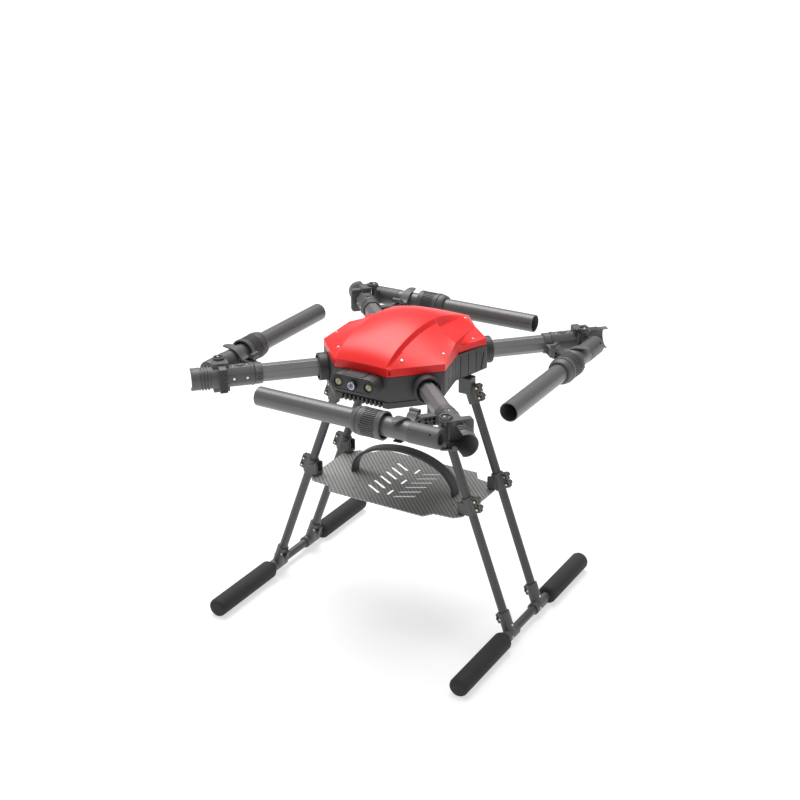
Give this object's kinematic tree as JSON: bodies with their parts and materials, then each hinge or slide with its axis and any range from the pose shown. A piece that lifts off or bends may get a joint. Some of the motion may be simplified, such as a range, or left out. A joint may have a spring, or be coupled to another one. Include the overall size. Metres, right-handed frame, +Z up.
{
  "type": "folding multirotor airframe",
  "caption": "Folding multirotor airframe: red canopy over a dark shell, hinged carbon arms folded round it, tall leg tubes on foam-ended skids and a slotted payload tray.",
  "frame": {"origin": "on the ground under the middle of the body, at the centre of the bounding box's base", "axes": "+Z up; the camera pod faces -Y; the drone's left side is +X"},
  "size_m": [0.7034, 0.7034, 0.673],
  "materials": {
    "canopy_red": "glossy moulded red plastic",
    "shell_plastic": "matte dark grey moulded plastic",
    "casting_plastic": "glass-filled nylon, satin dark grey",
    "inner_tube": "grey anodised satin",
    "carbon_tube": "carbon twill in satin resin",
    "carbon_plate": "carbon twill plate",
    "leg_tube": "smooth dark grey carbon tube",
    "foam_rubber": "closed-cell black foam",
    "strap_webbing": "flat woven strap",
    "pin_steel": "bright steel",
    "lens_glass": "coated lens in a dark barrel",
    "module_plastic": "plain black module case",
    "circuit_board": "circuit board"
  },
  "bodies": {
    "airframe": {"canopy": "canopy_red", "lower_shell": "shell_plastic", "upper_frame_plate": "carbon_plate", "lower_frame_plate": "carbon_plate", "flight_controller": "module_plastic", "power_board": "circuit_board", "camera_pod": "shell_plastic", "camera_lens": "lens_glass", "inner_arm_front_left": "inner_tube", "fold_joint_front_left": "casting_plastic", "hinge_pin_front_left": "pin_steel", "arm_rest_front_left": "casting_plastic", "inner_arm_front_right": "inner_tube", "fold_joint_front_right": "casting_plastic", "hinge_pin_front_right": "pin_steel", "arm_rest_front_right": "casting_plastic", "inner_arm_rear_right": "inner_tube", "fold_joint_rear_right": "casting_plastic", "hinge_pin_rear_right": "pin_steel", "arm_rest_rear_right": "casting_plastic", "inner_arm_rear_left": "inner_tube", "fold_joint_rear_left": "casting_plastic", "hinge_pin_rear_left": "pin_steel", "arm_rest_rear_left": "casting_plastic", "leg_front_left": "leg_tube", "leg_bracket_front_left": "casting_plastic", "tray_clamp_front_left": "casting_plastic", "skid_clamp_front_left": "casting_plastic", "leg_front_right": "leg_tube", "leg_bracket_front_right": "casting_plastic", "tray_clamp_front_right": "casting_plastic", "skid_clamp_front_right": "casting_plastic", "leg_rear_left": "leg_tube", "leg_bracket_rear_left": "casting_plastic", "tray_clamp_rear_left": "casting_plastic", "skid_clamp_rear_left": "casting_plastic", "leg_rear_right": "leg_tube", "leg_bracket_rear_right": "casting_plastic", "tray_clamp_rear_right": "casting_plastic", "skid_clamp_rear_right": "casting_plastic", "skid_tube_left": "leg_tube", "foam_front_left": "foam_rubber", "foam_rear_left": "foam_rubber", "skid_tube_right": "leg_tube", "foam_front_right": "foam_rubber", "foam_rear_right": "foam_rubber", "payload_tray": "carbon_plate", "payload_strap": "strap_webbing"},
    "swing_arm_front_left": {"fold_knuckle_front_left": "casting_plastic", "outer_arm_front_left": "carbon_tube"},
    "collar_front_left": {"lock_collar_front_left": "casting_plastic"},
    "swing_arm_front_right": {"fold_knuckle_front_right": "casting_plastic", "outer_arm_front_right": "carbon_tube"},
    "collar_front_right": {"lock_collar_front_right": "casting_plastic"},
    "swing_arm_rear_right": {"fold_knuckle_rear_right": "casting_plastic", "outer_arm_rear_right": "carbon_tube"},
    "collar_rear_right": {"lock_collar_rear_right": "casting_plastic"},
    "swing_arm_rear_left": {"fold_knuckle_rear_left": "casting_plastic", "outer_arm_rear_left": "carbon_tube"},
    "collar_rear_left": {"lock_collar_rear_left": "casting_plastic"}
  },
  "joints": [
    {"name": "fold_front_left", "type": "hinge", "parent": "airframe", "child": "swing_arm_front_left", "pos_m": [0.26234, -0.29769, 0.568], "axis": [0, 0, 1], "range_deg": [0, 135]},
    {"name": "collar_slide_front_left", "type": "slide", "parent": "swing_arm_front_left", "child": "collar_front_left", "axis": [-1, 0, 0], "range_m": [-0.012, 0.06]},
    {"name": "fold_front_right", "type": "hinge", "parent": "airframe", "child": "swing_arm_front_right", "pos_m": [-0.29769, -0.26234, 0.568], "axis": [0, 0, 1], "range_deg": [0, 135]},
    {"name": "collar_slide_front_right", "type": "slide", "parent": "swing_arm_front_right", "child": "collar_front_right", "axis": [0, 1, 0], "range_m": [-0.012, 0.06]},
    {"name": "fold_rear_right", "type": "hinge", "parent": "airframe", "child": "swing_arm_rear_right", "pos_m": [-0.26234, 0.29769, 0.568], "axis": [0, 0, 1], "range_deg": [0, 135]},
    {"name": "collar_slide_rear_right", "type": "slide", "parent": "swing_arm_rear_right", "child": "collar_rear_right", "axis": [1, 0, 0], "range_m": [-0.012, 0.06]},
    {"name": "fold_rear_left", "type": "hinge", "parent": "airframe", "child": "swing_arm_rear_left", "pos_m": [0.29769, 0.26234, 0.568], "axis": [0, 0, 1], "range_deg": [0, 135]},
    {"name": "collar_slide_rear_left", "type": "slide", "parent": "swing_arm_rear_left", "child": "collar_rear_left", "axis": [0, -1, 0], "range_m": [-0.012, 0.06]}
  ]
}
